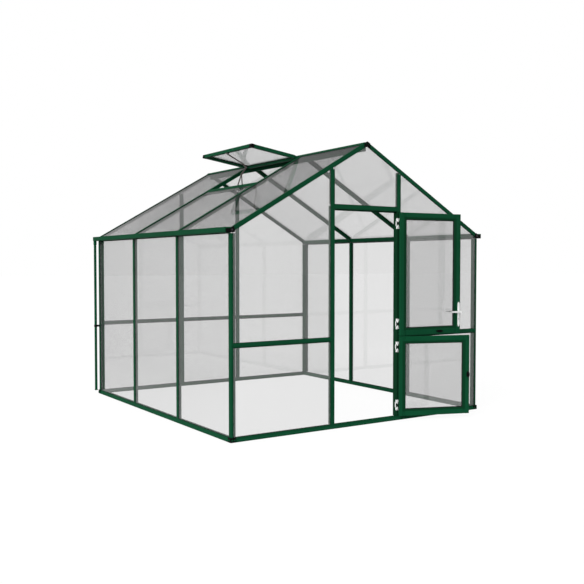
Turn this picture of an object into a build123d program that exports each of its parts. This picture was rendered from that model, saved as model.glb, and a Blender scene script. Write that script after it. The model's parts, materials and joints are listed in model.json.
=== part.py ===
"""Walk-in greenhouse with a two-part stable door, roof vent and gutters.

All sizes in mm. X runs across the gable, Y runs back from the door gable, Z is up.
The origin is on the underside of the front sill, in the middle of the doorway.
Every framing member has a 6 mm outer cap, and every pane sits against the back of
the caps. The door leaves are modelled open, as the joints' rest pose.
"""
import math
import os

from build123d import *

os.makedirs("parts", exist_ok=True)

# Main sizes
WIDTH = 2950.0
DEPTH = 3205.0
PITCH_TAN = 0.574
EAVE_Z = 1841.35
HALF = WIDTH / 2
APEX_Z = EAVE_Z + PITCH_TAN * HALF
APEX_FLAT_Z = APEX_Z - 4.0
PITCH = math.atan(PITCH_TAN)
COSP = math.cos(PITCH)
SINP = math.sin(PITCH)

# Member sections
CAP_T = 6.0
CAP_W = 42.0
PANE_T = 4.0
WEB_W = 18.0
FLANGE_W = 30.0
BAR_DEPTH = 38.0
SILL_H = 39.0
SILL_D = 40.0
SILL_SPLAY = 9.0
CORNER_FRONT = 22.0
CORNER_INNER = 58.0
CORNER_SIDE = 42.0
CORNER_BLOCK_H = 41.0
REBATE = 14.0
HEADER_REBATE = 12.0
EDGE = 2.0
FLANGE_T = 4.0
RAFTER_H = 38.0
RIDGE_WEB_H = 88.0
RIDGE_CAP = 45.0
RAIL_Z = 832.0
RAIL_H = 40.0

# Eaves, gutters and downpipes
BEAM_BOTTOM = EAVE_Z - 46.35
BEAM_W = 32.0
GUTTER_TOP = EAVE_Z + 4.65
GUTTER_BOTTOM = GUTTER_TOP - 47.0
GUTTER_OUT = 55.0
GUTTER_WALL = 3.0
GUTTER_RUN_ON = 24.0
PLUG_Z0 = GUTTER_BOTTOM + 2.0
PLUG_Z1 = GUTTER_TOP - 11.0
PIPE_R = 15.0
PIPE_WALL = 2.0
PIPE_Y = DEPTH + 5.0
PIPE_X = HALF + 37.0
PIPE_END = 38.0
CLIP_Z = RAIL_Z - 42.0
CLIP_H = 22.0
CLIP_WALL = 4.0

# Doorway
DOOR_HALF = 378.0
REVEAL_D = 56.0
HEADER_BOTTOM = 2040.0
HEADER_TOP = HEADER_BOTTOM + 42.0
STOP_LIP = 12.0
LEAF_HALF = DOOR_HALF - 10.0
LEAF_W = 2 * LEAF_HALF
LEAF_T = 28.0
LEAF_GROOVE = 8.0
STILE_BEAD = 28.0
RAIL_BEAD = 20.0
BEAD_DROP = 5.0
UPPER_STILES = (68.0, 79.0)
UPPER_RAILS = (72.0, 65.0)
LOWER_STILES = (61.0, 69.0)
LOWER_RAILS = (65.0, 67.0)
UPPER_Z0 = RAIL_Z - 1.0
UPPER_Z1 = HEADER_BOTTOM - 8.0
LOWER_Z0 = SILL_H + 5.0
LOWER_Z1 = UPPER_Z0 - 6.0
AXIS_X = DOOR_HALF
AXIS_Y = -8.0
UPPER_OPEN = 174.3
LOWER_OPEN = 159.7
HINGE_H = 102.0
HINGE_GAP = 48.0
HINGE_PAD = 31.0
HINGE_UPPER_Z = (UPPER_Z1 - 107.0, UPPER_Z0 + 113.0)
HINGE_LOWER_Z = (LOWER_Z1 - 106.0, LOWER_Z0 + 103.0)
HANDLE_Z0 = 898.0
HANDLE_Z1 = 1145.0
HANDLE_W = 26.0
PLATE_T = 4.0
LEVER_Z = 1048.0
LEVER_LEN = 104.0
LEVER_T = 12.0
LEVER_OUT = 32.0
HANDLE_S = LEAF_W - 22.0
SPINDLE_R = 6.0
BUTTON_S = 470.0
RUNNING = 0.1
KNUCKLE_R = 5.0
PIN_R = 2.5

# Roof vent
VENT_HINGE_X = -46.0
VENT_HINGE_Z = APEX_Z - 24.0
VENT_LEN = 594.0
VENT_ANGLE = 8.4
VENT_T = 34.0
VENT_W = 30.0
VENT_SIDE = 38.0
VENT_NOTCH = 60.0
BAY_Y = (DEPTH / 3, 2 * DEPTH / 3)
VENT_Y0 = BAY_Y[0] + 7.0
VENT_Y1 = BAY_Y[1] + 7.0
VENT_SILL_X1 = VENT_HINGE_X - VENT_LEN * COSP + 1.2
VENT_SILL_X0 = VENT_SILL_X1 - CAP_W
OPENER_FOOT_Y = (BAY_Y[0] + 337.0, BAY_Y[0] + 432.0)
OPENER_KNEE_Y = BAY_Y[0] + 440.0
OPENER_ELBOW_Y = BAY_Y[0] + 476.0
OPENER_HEAD_Y = (BAY_Y[0] + BAY_Y[1]) / 2 + 6.0
OPENER_HEAD_U = 576.0
GAP = 0.3

BACK_POSTS = (-DOOR_HALF - CAP_W / 2, DOOR_HALF + CAP_W / 2)


def save(part, name):
    part.label = name
    export_step(part, "parts/" + name + ".step")


def along_z(points, z0, z1):
    """Section in X, Y, run up from z0 to z1."""
    with BuildSketch(Plane.XY.offset(z0)) as section:
        with BuildLine():
            Polyline(*points, close=True)
        make_face()
    extrude(section.sketch, amount=z1 - z0)


def along_x(points, x0, x1):
    """Section in Y, Z, run from x0 to x1."""
    with BuildSketch(Plane(origin=(x0, 0, 0), x_dir=(0, 1, 0), z_dir=(1, 0, 0))) as section:
        with BuildLine():
            Polyline(*points, close=True)
        make_face()
    extrude(section.sketch, amount=x1 - x0)


def along_y(points, y0, y1):
    """Section in X, Z, run from y0 to y1."""
    with BuildSketch(Plane(origin=(0, y1, 0), x_dir=(1, 0, 0), z_dir=(0, -1, 0))) as section:
        with BuildLine():
            Polyline(*points, close=True)
        make_face()
    extrude(section.sketch, amount=y1 - y0)


def block(x0, x1, y0, y1, z0, z1):
    """Plain box between limits."""
    along_z([(x0, y0), (x1, y0), (x1, y1), (x0, y1)], z0, z1)


def roof_z(x, w=0.0):
    """Height of the roof's top plane at x, less w measured square to the slope."""
    return APEX_Z - PITCH_TAN * abs(x) - w / COSP


def slope_strip(x0, x1, w0, w1, y0, y1):
    """Strip of the roof between x0 and x1, w0 to w1 below the top plane."""
    along_y([(x0, roof_z(x0, w0)), (x1, roof_z(x1, w0)),
             (x1, roof_z(x1, w1)), (x0, roof_z(x0, w1))], y0, y1)


def both_sides(part):
    """The part and its mirror image across the middle plane."""
    return part + mirror(part, about=Plane.YZ)


def front_and_back(part):
    """The part and its mirror image across the middle of the depth."""
    return part + mirror(part, about=Plane.XZ.offset(-DEPTH / 2))


# Sills: a splayed skirt outside, a cap, and a channel behind the panes
SKIRT = [(-SILL_SPLAY, 0), (SILL_D, 0), (SILL_D, SILL_H), (SILL_D - 5, SILL_H),
         (SILL_D - 5, SILL_H - REBATE), (CAP_T, SILL_H - REBATE), (CAP_T, SILL_H), (1.5, SILL_H),
         (0, SILL_H - EDGE), (-1, 22), (-SILL_SPLAY, 8)]
CORNER_X = HALF - SILL_D

with BuildPart() as front_sill:
    along_x(SKIRT, -CORNER_X, CORNER_X)
save(front_sill.part, "front_sill")

save(mirror(front_sill.part, about=Plane.XZ.offset(-DEPTH / 2)), "back_sill")

with BuildPart() as side_sill:
    along_y([(-HALF + y, z) for y, z in SKIRT], 42.0, DEPTH - 42.0)
save(side_sill.part, "left_sill")
save(mirror(side_sill.part, about=Plane.YZ), "right_sill")

# Black corner feet that join the sills
with BuildPart() as foot:
    along_z([(-HALF + a, b) for a, b in
             [(-10, -3), (-3, -10), (40, -10), (40, 42), (-10, 42)]], 0, SILL_H - REBATE)
    along_z([(-HALF + a, b) for a, b in
             [(-10, -3), (-3, -10), (40, -10), (40, CAP_T), (14, CAP_T), (14, 26), (CAP_T, 26),
              (CAP_T, 42), (-10, 42)]], SILL_H - REBATE, CORNER_BLOCK_H)
save(both_sides(front_and_back(foot.part)), "corner_feet")

# Corner posts
with BuildPart() as corner:
    along_z([(-HALF + a, b) for a, b in
             [(0, 6), (6, 0), (CORNER_FRONT, 0), (CORNER_FRONT, CAP_T), (14, CAP_T), (14, 26),
              (CORNER_INNER, 26), (CORNER_INNER, 30), (CAP_T, 30), (CAP_T, CORNER_SIDE), (0, CORNER_SIDE)]],
            CORNER_BLOCK_H, BEAM_BOTTOM)
save(both_sides(front_and_back(corner.part)), "corner_posts")


def wall_bar(y):
    """Glazing bar of the left wall, centred at y."""
    pts = [(0, -CAP_W / 2 + EDGE), (EDGE, -CAP_W / 2), (CAP_T, -CAP_W / 2), (CAP_T, -WEB_W / 2),
           (BAR_DEPTH - FLANGE_T, -WEB_W / 2), (BAR_DEPTH - FLANGE_T, -FLANGE_W / 2),
           (BAR_DEPTH, -FLANGE_W / 2)]
    full = pts + [(a, -b) for a, b in reversed(pts)]
    along_z([(-HALF + a, y + b) for a, b in full], SILL_H, BEAM_BOTTOM)


with BuildPart() as side_bars:
    for bay in BAY_Y:
        wall_bar(bay)
save(both_sides(side_bars.part), "side_wall_bars")


def post_top(x):
    """Height where a gable post meets the underside of the rafter."""
    return roof_z(x, RAFTER_H)


# Door posts: glazed on both sides above the header, plain reveal below it
with BuildPart() as post:
    x0 = -DOOR_HALF - CAP_W
    x1 = -DOOR_HALF
    mid = (x0 + x1) / 2
    web = WEB_W / 2
    lip = FLANGE_W / 2
    along_z([(x0, EDGE), (x0 + EDGE, 0), (x1, 0), (x1, REVEAL_D), (x0 + 12, REVEAL_D),
             (x0 + 12, CAP_T), (x0, CAP_T)], SILL_H, HEADER_TOP - HEADER_REBATE)
    along_z([(x0, EDGE), (x0 + EDGE, 0), (x1, 0), (x1, CAP_T), (x0, CAP_T)],
            HEADER_TOP - HEADER_REBATE, HEADER_TOP)
    along_z([(x0, EDGE), (x0 + EDGE, 0), (x1 - EDGE, 0), (x1, EDGE), (x1, CAP_T), (x0, CAP_T)],
            HEADER_TOP, post_top(x0))
    along_z([(mid - web, CAP_T), (mid + web, CAP_T), (mid + web, BAR_DEPTH - FLANGE_T),
             (mid + lip, BAR_DEPTH - FLANGE_T), (mid + lip, BAR_DEPTH), (mid - lip, BAR_DEPTH),
             (mid - lip, BAR_DEPTH - FLANGE_T), (mid - web, BAR_DEPTH - FLANGE_T)],
            HEADER_TOP, roof_z(x0, 26))
    with BuildSketch(Plane(origin=(0, 50, 0), x_dir=(1, 0, 0), z_dir=(0, -1, 0))):
        with BuildLine():
            Polyline((x0 - 5, roof_z(x0 - 5, RAFTER_H)), (x1 + 5, roof_z(x1 + 5, RAFTER_H)),
                     (x1 + 5, APEX_Z), (x0 - 5, APEX_Z), close=True)
        make_face()
    extrude(amount=60, mode=Mode.SUBTRACT)
save(both_sides(post.part), "door_posts")

# Posts of the back gable
with BuildPart() as back_post:
    for px in BACK_POSTS:
        half_cap = [(CAP_W / 2 - EDGE, 0), (CAP_W / 2, EDGE), (CAP_W / 2, CAP_T), (WEB_W / 2, CAP_T),
                    (WEB_W / 2, BAR_DEPTH - FLANGE_T), (FLANGE_W / 2, BAR_DEPTH - FLANGE_T),
                    (FLANGE_W / 2, BAR_DEPTH)]
        outline = half_cap + [(-a, b) for a, b in reversed(half_cap)]
        along_z([(px + a, DEPTH - b) for a, b in outline], SILL_H,
                post_top(BACK_POSTS[1] + CAP_W / 2))
save(back_post.part, "back_posts")

# Door header with a stop lip behind the leaf
with BuildPart() as header:
    lip_z = HEADER_BOTTOM - STOP_LIP
    along_x([(0, HEADER_BOTTOM + 3), (3, HEADER_BOTTOM), (SILL_D - 6, HEADER_BOTTOM),
             (SILL_D - 6, lip_z), (SILL_D, lip_z), (SILL_D, HEADER_TOP - HEADER_REBATE),
             (CAP_T, HEADER_TOP - HEADER_REBATE), (CAP_T, HEADER_TOP), (1.5, HEADER_TOP),
             (0, HEADER_TOP - EDGE)], -DOOR_HALF, DOOR_HALF)
save(header.part, "door_header")


def rail_section(zc, sign=1.0, at=0.0):
    """Cross rail: a cap with bevelled edges, and a web behind it."""
    h = RAIL_H / 2
    w = WEB_W / 2
    pts = [(0, -h + 9), (4, -h), (CAP_T, -h), (CAP_T, -w), (26, -w),
           (26, w), (CAP_T, w), (CAP_T, h), (4, h), (0, h - 9)]
    return [(at + sign * a, zc + b) for a, b in pts]


OUTER_L = -HALF + CORNER_FRONT
INNER_L = -DOOR_HALF - CAP_W
with BuildPart() as front_rails:
    along_x(rail_section(RAIL_Z), OUTER_L, INNER_L)
save(both_sides(front_rails.part), "front_cross_rails")

with BuildPart() as back_rails:
    sec = rail_section(RAIL_Z, -1.0, DEPTH)
    along_x(sec, OUTER_L, BACK_POSTS[0] - CAP_W / 2)
    along_x(sec, BACK_POSTS[0] + CAP_W / 2, BACK_POSTS[1] - CAP_W / 2)
    along_x(sec, BACK_POSTS[1] + CAP_W / 2, -OUTER_L)
save(back_rails.part, "back_cross_rails")

# Eave beams that carry the side panes, the roof panes and the gutters
BEAM_TOP_OUT = roof_z(HALF)
with BuildPart() as eave:
    xi = -HALF + BEAM_W
    along_y([(-HALF, BEAM_BOTTOM), (-HALF + CAP_T, BEAM_BOTTOM), (-HALF + CAP_T, BEAM_BOTTOM + 12),
             (xi, BEAM_BOTTOM + 12), (xi, roof_z(xi, 10)), (-HALF + 14, roof_z(-HALF + 14, 10)),
             (-HALF + 14, roof_z(-HALF + 14, 0)), (-HALF, BEAM_TOP_OUT)], 14, DEPTH - 14)
save(eave.part, "left_eave_beam")
save(mirror(eave.part, about=Plane.YZ), "right_eave_beam")

# Gutters: floor, outer wall and end walls of the trough, hung on the beam
with BuildPart() as gutter:
    xo = -HALF - GUTTER_OUT
    wall_x = xo + GUTTER_WALL
    floor_z = GUTTER_BOTTOM + GUTTER_WALL
    along_y([(xo, GUTTER_BOTTOM + 4), (xo + 4, GUTTER_BOTTOM), (-HALF, GUTTER_BOTTOM),
             (-HALF, floor_z), (xo + 6, floor_z), (wall_x, floor_z + 3),
             (wall_x, GUTTER_TOP - GUTTER_WALL), (xo + 8, GUTTER_TOP - GUTTER_WALL),
             (xo + 8, GUTTER_TOP), (xo, GUTTER_TOP)], 0, DEPTH + GUTTER_RUN_ON)
    end_wall = [(xo, GUTTER_BOTTOM + 4), (xo + 4, GUTTER_BOTTOM), (-HALF, GUTTER_BOTTOM),
                (-HALF, GUTTER_TOP), (xo, GUTTER_TOP)]
    far = DEPTH + GUTTER_RUN_ON
    along_y(end_wall, 0, GUTTER_WALL)
    along_y(end_wall, far - GUTTER_WALL, far)
save(gutter.part, "left_gutter")
save(mirror(gutter.part, about=Plane.YZ), "right_gutter")

# Black plugs on the gutters' end walls
with BuildPart() as gutter_end:
    back_y = DEPTH + GUTTER_RUN_ON + GAP
    plug = [(-HALF - GUTTER_OUT + 8, PLUG_Z0 + 3), (-HALF - GUTTER_OUT + 11, PLUG_Z0),
            (-HALF - GAP, PLUG_Z0), (-HALF - GAP, PLUG_Z1), (-HALF - GUTTER_OUT + 11, PLUG_Z1),
            (-HALF - GUTTER_OUT + 8, PLUG_Z1 - 3)]
    along_y(plug, -6, -GAP)
    along_y(plug, back_y, back_y + 5)
save(both_sides(gutter_end.part), "gutter_end_caps")

# Black connectors where post, rafter and eave beam meet
with BuildPart() as connector:
    along_y([(-HALF + 0.3, PLUG_Z0), (-HALF + 30, PLUG_Z0), (-HALF + 38, PLUG_Z0 + 8),
             (-HALF + 38, PLUG_Z0 + 21), (-HALF + 32, PLUG_Z1 + 3),
             (-HALF + 26, roof_z(-HALF + 26) - 3), (-HALF + 14, roof_z(-HALF + 14) + 1),
             (-HALF + 5, PLUG_Z1 + 5), (-HALF + 0.3, PLUG_Z1 + 3)], -8, 0)
save(both_sides(front_and_back(connector.part)), "eave_connectors")


def rafter(y0, sign):
    """Left rafter of a gable, built inwards from the outer face at y0."""
    xa = -HALF + BEAM_W
    xb = -0.3

    def strip(x0, x1, w0, w1, d0, d1):
        lo = min(y0 + sign * d0, y0 + sign * d1)
        hi = max(y0 + sign * d0, y0 + sign * d1)
        slope_strip(x0, x1, w0, w1, lo, hi)

    strip(-HALF, xb, 0.0, RAFTER_H, 0, CAP_T)
    strip(xa, xb, CAP_T, 26.0, CAP_T, 14)
    strip(xa, -RIDGE_CAP, 0.0, CAP_T, CAP_T, CORNER_FRONT)
    strip(xa, xb, 22.0, 26.0, 14, 30)


with BuildPart() as front_rafter:
    rafter(0.0, 1.0)
    split(bisect_by=Plane.XY.offset(APEX_FLAT_Z), keep=Keep.BOTTOM)
save(both_sides(front_and_back(front_rafter.part)), "gable_rafters")

# Ridge beam: a peaked cap over the panes and a hanging web
with BuildPart() as ridge:
    edge_x = RIDGE_CAP
    web_z = APEX_Z - RIDGE_WEB_H
    half = [(7, APEX_FLAT_Z), (edge_x, roof_z(edge_x)), (edge_x, roof_z(edge_x, CAP_T)),
            (22, roof_z(22, CAP_T)), (22, roof_z(22, 26)), (8, roof_z(8, 40)), (8, web_z)]
    along_y(half + [(-x, z) for x, z in reversed(half)], 30.5, DEPTH - 30.5)
save(ridge.part, "ridge_beam")

with BuildPart() as ridge_cap:
    pts = [(5, APEX_FLAT_Z + 3), (34, roof_z(34) + 3), (34, roof_z(34, 36)), (0, roof_z(0, 44))]
    along_y(pts + [(-x, z) for x, z in reversed(pts[:3])], -5, -0.2)
save(front_and_back(ridge_cap.part), "ridge_end_caps")

# Roof glazing bars
with BuildPart() as roof_bars:
    xa = -HALF + BEAM_W
    for bay in BAY_Y:
        web_w = BAR_DEPTH - FLANGE_T
        slope_strip(xa, -RIDGE_CAP - GAP, 0.0, CAP_T, bay - CAP_W / 2, bay + CAP_W / 2)
        slope_strip(xa, -22.0 - GAP, CAP_T, web_w, bay - WEB_W / 2, bay + WEB_W / 2)
        slope_strip(xa, -22.0 - GAP, web_w, BAR_DEPTH, bay - FLANGE_W / 2, bay + FLANGE_W / 2)
save(both_sides(roof_bars.part), "roof_bars")

# Sill bar that carries the middle pane's top edge under the vent
with BuildPart() as vent_sill:
    slope_strip(VENT_SILL_X0, VENT_SILL_X1, 0.0, CAP_T, BAY_Y[0] + CAP_W / 2,
                BAY_Y[1] - CAP_W / 2)
    slope_strip(VENT_SILL_X0 + 12, VENT_SILL_X1, CAP_T, 30.0, BAY_Y[0] + WEB_W / 2,
                BAY_Y[1] - WEB_W / 2)
save(vent_sill.part, "vent_sill")

# Panes
P0 = CAP_T
P1 = CAP_T + PANE_T
with BuildPart() as side_panes:
    edges = [30.0, BAY_Y[0], BAY_Y[1], DEPTH - 30.0]
    for i in range(3):
        ya = edges[i] + (0.0 if i == 0 else WEB_W / 2)
        yb = edges[i + 1] - (0.0 if i == 2 else WEB_W / 2)
        block(-HALF + P0, -HALF + P1, ya, yb, SILL_H - REBATE, BEAM_BOTTOM + 12)
save(side_panes.part, "left_panes")
save(mirror(side_panes.part, about=Plane.YZ), "right_panes")


PANE_Z0 = SILL_H - REBATE
PANE_RAIL = (RAIL_Z - WEB_W / 2, RAIL_Z + WEB_W / 2)
PANE_TOP_W = 26.0


def gable_bay(y0, y1, xin):
    """The two panes of a gable's left bay, below and above the cross rail."""
    xo = -HALF + 14
    zl, zh = PANE_RAIL
    along_y([(xo, PANE_Z0), (xin, PANE_Z0), (xin, zl), (xo, zl)], y0, y1)
    along_y([(xo, zh), (xin, zh), (xin, roof_z(xin, PANE_TOP_W)), (xo, roof_z(xo, PANE_TOP_W))],
            y0, y1)


with BuildPart() as front_panes:
    gable_bay(P0, P1, -DOOR_HALF - CAP_W + 12)
FRONT_SIDE = both_sides(front_panes.part)
with BuildPart() as over_door:
    xm = DOOR_HALF + CAP_W / 2 - WEB_W / 2
    z = HEADER_TOP - HEADER_REBATE
    top = roof_z(xm, PANE_TOP_W)
    along_y([(-xm, z), (xm, z), (xm, top), (0, roof_z(0, PANE_TOP_W)), (-xm, top)], P0, P1)
save(FRONT_SIDE + over_door.part, "front_panes")

with BuildPart() as back_panes:
    gable_bay(DEPTH - P1, DEPTH - P0, BACK_POSTS[0] - WEB_W / 2)
BACK_SIDE = both_sides(back_panes.part)
with BuildPart() as back_mid:
    xm = BACK_POSTS[1] - WEB_W / 2
    zl, zh = PANE_RAIL
    top = roof_z(xm, PANE_TOP_W)
    along_y([(-xm, PANE_Z0), (xm, PANE_Z0), (xm, zl), (-xm, zl)], DEPTH - P1, DEPTH - P0)
    along_y([(-xm, zh), (xm, zh), (xm, top), (0, roof_z(0, PANE_TOP_W)), (-xm, top)],
            DEPTH - P1, DEPTH - P0)
save(BACK_SIDE + back_mid.part, "back_panes")

WEB_HALF = WEB_W / 2
ROOF_EDGES = [(14.0, BAY_Y[0] - WEB_HALF), (BAY_Y[0] + WEB_HALF, BAY_Y[1] - WEB_HALF),
              (BAY_Y[1] + WEB_HALF, DEPTH - 14.0)]
with BuildPart() as left_roof:
    for i, (ya, yb) in enumerate(ROOF_EDGES):
        top_x = VENT_SILL_X0 + 12 if i == 1 else -22.0
        slope_strip(-HALF + 14, top_x, P0, P1, ya, yb)
save(left_roof.part, "left_roof_panes")
with BuildPart() as right_roof:
    for ya, yb in ROOF_EDGES:
        slope_strip(HALF - 14, 22.0, P0, P1, ya, yb)
save(right_roof.part, "right_roof_panes")

# Downpipes at the back corners, with a clip to each post
with BuildPart() as pipe:
    with BuildSketch(Plane.XY.offset(PIPE_END)):
        with Locations((-PIPE_X, PIPE_Y)):
            Circle(PIPE_R)
            Circle(PIPE_R - PIPE_WALL, mode=Mode.SUBTRACT)
    extrude(amount=GUTTER_BOTTOM - PIPE_END)
save(both_sides(pipe.part), "downpipes")

with BuildPart() as clip:
    with BuildSketch(Plane.XY.offset(CLIP_Z)):
        with Locations((-PIPE_X, PIPE_Y)):
            Circle(PIPE_R + CLIP_WALL)
        with BuildLine():
            Polyline((-PIPE_X, PIPE_Y - 12), (-HALF, PIPE_Y - 32), (-HALF, PIPE_Y - 12),
                     (-PIPE_X, PIPE_Y + 12), close=True)
        make_face()
        with Locations((-PIPE_X, PIPE_Y)):
            Circle(PIPE_R + RUNNING, mode=Mode.SUBTRACT)
    extrude(amount=CLIP_H)
save(both_sides(clip.part), "downpipe_clips")

# Roof vent, propped open, in a frame of its own
VA = math.radians(VENT_ANGLE)
VENT_PLANE = Plane(origin=(VENT_HINGE_X, VENT_Y0, VENT_HINGE_Z),
                   x_dir=(-math.cos(VA), 0, math.sin(VA)),
                   z_dir=(-math.sin(VA), 0, -math.cos(VA)))
VENT_SPAN = VENT_Y1 - VENT_Y0


def vent_box(u0, u1, v0, v1, t0, t1):
    """Box in the vent's own directions: out, along the ridge, and down."""
    with BuildSketch(VENT_PLANE.offset(t0)) as section:
        with Locations(((u0 + u1) / 2, (v0 + v1) / 2)):
            Rectangle(u1 - u0, v1 - v0)
    extrude(section.sketch, amount=t1 - t0)


def vent_strip(points, t0, t1):
    """Shape in the vent's plane, run down from t0 to t1."""
    with BuildSketch(VENT_PLANE.offset(t0)) as section:
        with BuildLine():
            Polyline(*points, close=True)
        make_face()
    extrude(section.sketch, amount=t1 - t0)


FRONT_IN = BAY_Y[0] + 23 - VENT_Y0
BACK_IN = BAY_Y[1] - 23 - VENT_Y0
with BuildPart() as vent_frame:
    vent_strip([(0, FRONT_IN), (VENT_NOTCH, FRONT_IN), (VENT_NOTCH, 0), (VENT_LEN, 0),
                (VENT_LEN, VENT_SIDE), (0, VENT_SIDE)], 0, VENT_T)
    vent_strip([(0, VENT_SPAN - VENT_SIDE), (VENT_LEN, VENT_SPAN - VENT_SIDE),
                (VENT_LEN, VENT_SPAN), (VENT_NOTCH, VENT_SPAN), (VENT_NOTCH, BACK_IN),
                (0, BACK_IN)], 0, VENT_T)
    vent_box(0, VENT_W, VENT_SIDE + GAP, VENT_SPAN - VENT_SIDE - GAP, 0, VENT_T)
    vent_box(VENT_LEN - VENT_W, VENT_LEN, VENT_SIDE + GAP, VENT_SPAN - VENT_SIDE - GAP, 0,
             VENT_T)
save(vent_frame.part, "vent_frame")
with BuildPart() as vent_pane:
    vent_box(VENT_W, VENT_LEN - VENT_W, VENT_SIDE + GAP, VENT_SPAN - VENT_SIDE - GAP, 8, 12)
save(vent_pane.part, "vent_pane")


def vent_point(u, t):
    """X and Z of a point of the vent, u out from its hinge and t down from its top."""
    return (VENT_HINGE_X - u * math.cos(VA) - t * math.sin(VA),
            VENT_HINGE_Z + u * math.sin(VA) - t * math.cos(VA))


def bar(a, b, width, depth):
    """Flat bar between two points, its width square to the ridge."""
    start = Vector(*a)
    run = Vector(*b) - start
    with BuildSketch(Plane(origin=start, x_dir=(0, 1, 0), z_dir=run.normalized())) as section:
        Rectangle(depth, width)
    extrude(section.sketch, amount=run.length)


def boss(at, radius, length):
    """Round pivot along the ridge's direction, centred at a point."""
    start = (at[0], at[1] - length / 2, at[2])
    with BuildSketch(Plane(origin=start, x_dir=(1, 0, 0), z_dir=(0, 1, 0))) as section:
        Circle(radius)
    extrude(section.sketch, amount=length)


# Vent opener: a foot plate on the sill, two arms to a cranked link, and a rod up to the vent
SILL_FACE = VENT_SILL_X1 + GAP
KNEE = (VENT_SILL_X1 + 58, OPENER_KNEE_Y, APEX_Z - 201)
ELBOW = (VENT_SILL_X1 + 133, OPENER_ELBOW_Y, APEX_Z - 122)
CRANK = (VENT_SILL_X1 + 107, OPENER_ELBOW_Y + 11, APEX_Z - 84)
HEAD_X, HEAD_Z = vent_point(OPENER_HEAD_U, VENT_T + 8)
HEAD = (HEAD_X, OPENER_HEAD_Y, HEAD_Z)
HEAD_V = OPENER_HEAD_Y - VENT_Y0
with BuildPart() as opener:
    slope_strip(SILL_FACE, SILL_FACE + 6, 2, 28, OPENER_FOOT_Y[0] - 12, OPENER_FOOT_Y[1] + 12)
    for foot_y in OPENER_FOOT_Y:
        foot = (SILL_FACE + 6, foot_y, roof_z(SILL_FACE + 6, 6))
        bar(foot, KNEE, 12, 5)
    boss(KNEE, 9, 16)
    bar(KNEE, ELBOW, 16, 10)
    boss(ELBOW, 10, 14)
    bar(ELBOW, CRANK, 16, 10)
    boss(CRANK, 8, 14)
    bar(CRANK, HEAD, 12, 8)
    vent_box(OPENER_HEAD_U - 14, OPENER_HEAD_U + 14, HEAD_V - 18, HEAD_V + 18, VENT_T + GAP,
             VENT_T + 8)
save(opener.part, "vent_opener")


def leaf_point(s, q, z, angle):
    """Row position of a leaf point: s along from the axis side, q inwards from the outer face."""
    a = math.radians(angle)
    x = -(s + AXIS_X - LEAF_HALF)
    y = q - AXIS_Y
    return (AXIS_X + x * math.cos(a) - y * math.sin(a),
            AXIS_Y + x * math.sin(a) + y * math.cos(a), z)


def leaf_plane(angle, z0):
    """Plane whose X runs along the open leaf and whose Y runs to its outer face."""
    a = math.radians(angle)
    return Plane(origin=leaf_point(0, 0, z0, angle),
                 x_dir=(-math.cos(a), -math.sin(a), 0), z_dir=(0, 0, 1))


def leaf_box(angle, s0, s1, q0, q1, z0, z1):
    """Box in a leaf's own directions. Local Y of the plane points to -q."""
    with BuildSketch(leaf_plane(angle, z0)) as section:
        with Locations(((s0 + s1) / 2, -(q0 + q1) / 2)):
            Rectangle(s1 - s0, q1 - q0)
    extrude(section.sketch, amount=z1 - z0)


PANE_Q0 = (LEAF_T - PANE_T) / 2
PANE_Q1 = PANE_Q0 + PANE_T


def groove(width, bead):
    """Section of a leaf member: a groove for the pane at width, and a lower, sloping bead."""
    rim = LEAF_T - BEAD_DROP
    return [(EDGE, 0), (width - EDGE, 0), (width, EDGE), (width, PANE_Q0 - GAP),
            (width - LEAF_GROOVE, PANE_Q0 - GAP), (width - LEAF_GROOVE, PANE_Q1 + GAP),
            (width, PANE_Q1 + GAP), (width, rim - EDGE), (width - bead, rim),
            (width - bead, LEAF_T - 1), (width - bead - 1, LEAF_T),
            (EDGE, LEAF_T), (0, LEAF_T - EDGE), (0, EDGE)]


def leaf_stile(angle, points, z0, z1):
    """Upright member whose section is given as points along and across the leaf."""
    with BuildSketch(leaf_plane(angle, z0)) as section:
        with BuildLine():
            Polyline(*[(along, -across) for along, across in points], close=True)
        make_face()
    extrude(section.sketch, amount=z1 - z0)


def leaf_rail(angle, points, s0, s1):
    """Level member whose section is given as heights and points across the leaf."""
    a = math.radians(angle)
    start = Plane(origin=leaf_point(s0, 0, 0, angle), x_dir=(-math.sin(a), math.cos(a), 0),
                  z_dir=(-math.cos(a), -math.sin(a), 0))
    with BuildSketch(start) as section:
        with BuildLine():
            Polyline(*[(across, -height) for height, across in points], close=True)
        make_face()
    extrude(section.sketch, amount=s1 - s0)


def leaf_frame(angle, z0, z1, stiles, rails):
    """Hinge stile, free stile, bottom rail and top rail, each a separate grooved member."""
    leaf_stile(angle, groove(stiles[0], STILE_BEAD), z0, z1)
    free = groove(stiles[1], STILE_BEAD)
    leaf_stile(angle, [(LEAF_W - along, across) for along, across in free], z0, z1)
    s0 = stiles[0] + GAP
    s1 = LEAF_W - stiles[1] - GAP
    low = groove(rails[0], RAIL_BEAD)
    high = groove(rails[1], RAIL_BEAD)
    leaf_rail(angle, [(z0 + up, across) for up, across in low], s0, s1)
    leaf_rail(angle, [(z1 - down, across) for down, across in high], s0, s1)


def leaf_pane(angle, z0, z1, stiles, rails):
    """Pane seated in the grooves of a leaf's frame."""
    seat = LEAF_GROOVE - GAP
    leaf_box(angle, stiles[0] - seat, LEAF_W - stiles[1] + seat, PANE_Q0, PANE_Q1,
             z0 + rails[0] - seat, z1 - rails[1] + seat)


def leaf_oval(angle, s, z, rs, rz, q0, q1):
    """Oval turn button on a leaf, from depth q0 to q1."""
    a = math.radians(angle)
    base = Plane(origin=leaf_point(s, q0, z, angle), x_dir=(-math.cos(a), -math.sin(a), 0),
                 z_dir=(math.sin(a), -math.cos(a), 0))
    with BuildSketch(base) as section:
        Ellipse(rs, rz)
    extrude(section.sketch, amount=-(q1 - q0))


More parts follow.
